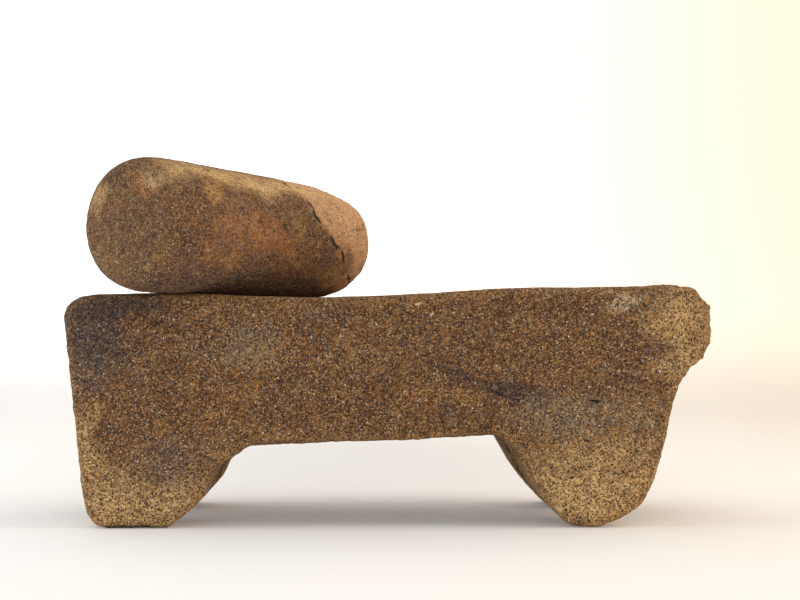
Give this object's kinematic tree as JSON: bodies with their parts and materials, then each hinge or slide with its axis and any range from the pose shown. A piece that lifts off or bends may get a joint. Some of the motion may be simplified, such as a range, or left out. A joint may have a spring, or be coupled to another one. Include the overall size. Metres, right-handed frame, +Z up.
{
  "type": "saddle quern",
  "caption": "Footed saddle quern of carved stone: a thick slab with a shallow worn top on stub legs, with its loose roller stone lying askew on it.",
  "frame": {"origin": "centre of the underside of the whole object's box, on the ground that the feet stand on", "axes": "+X along the slab towards its overhanging lip, +Y from the front to the back, +Z up"},
  "size_m": [0.376, 0.2304, 0.2124],
  "materials": {
    "bed_stone": "pecked, weathered, speckled brown sandstone with dark and ochre stains",
    "roller_stone": "finer, worn brown stone with a pale rubbed facet and a flaked far end"
  },
  "bodies": {
    "root": {"bed_stone": "bed_stone", "roller_stone": "roller_stone"}
  },
  "joints": []
}
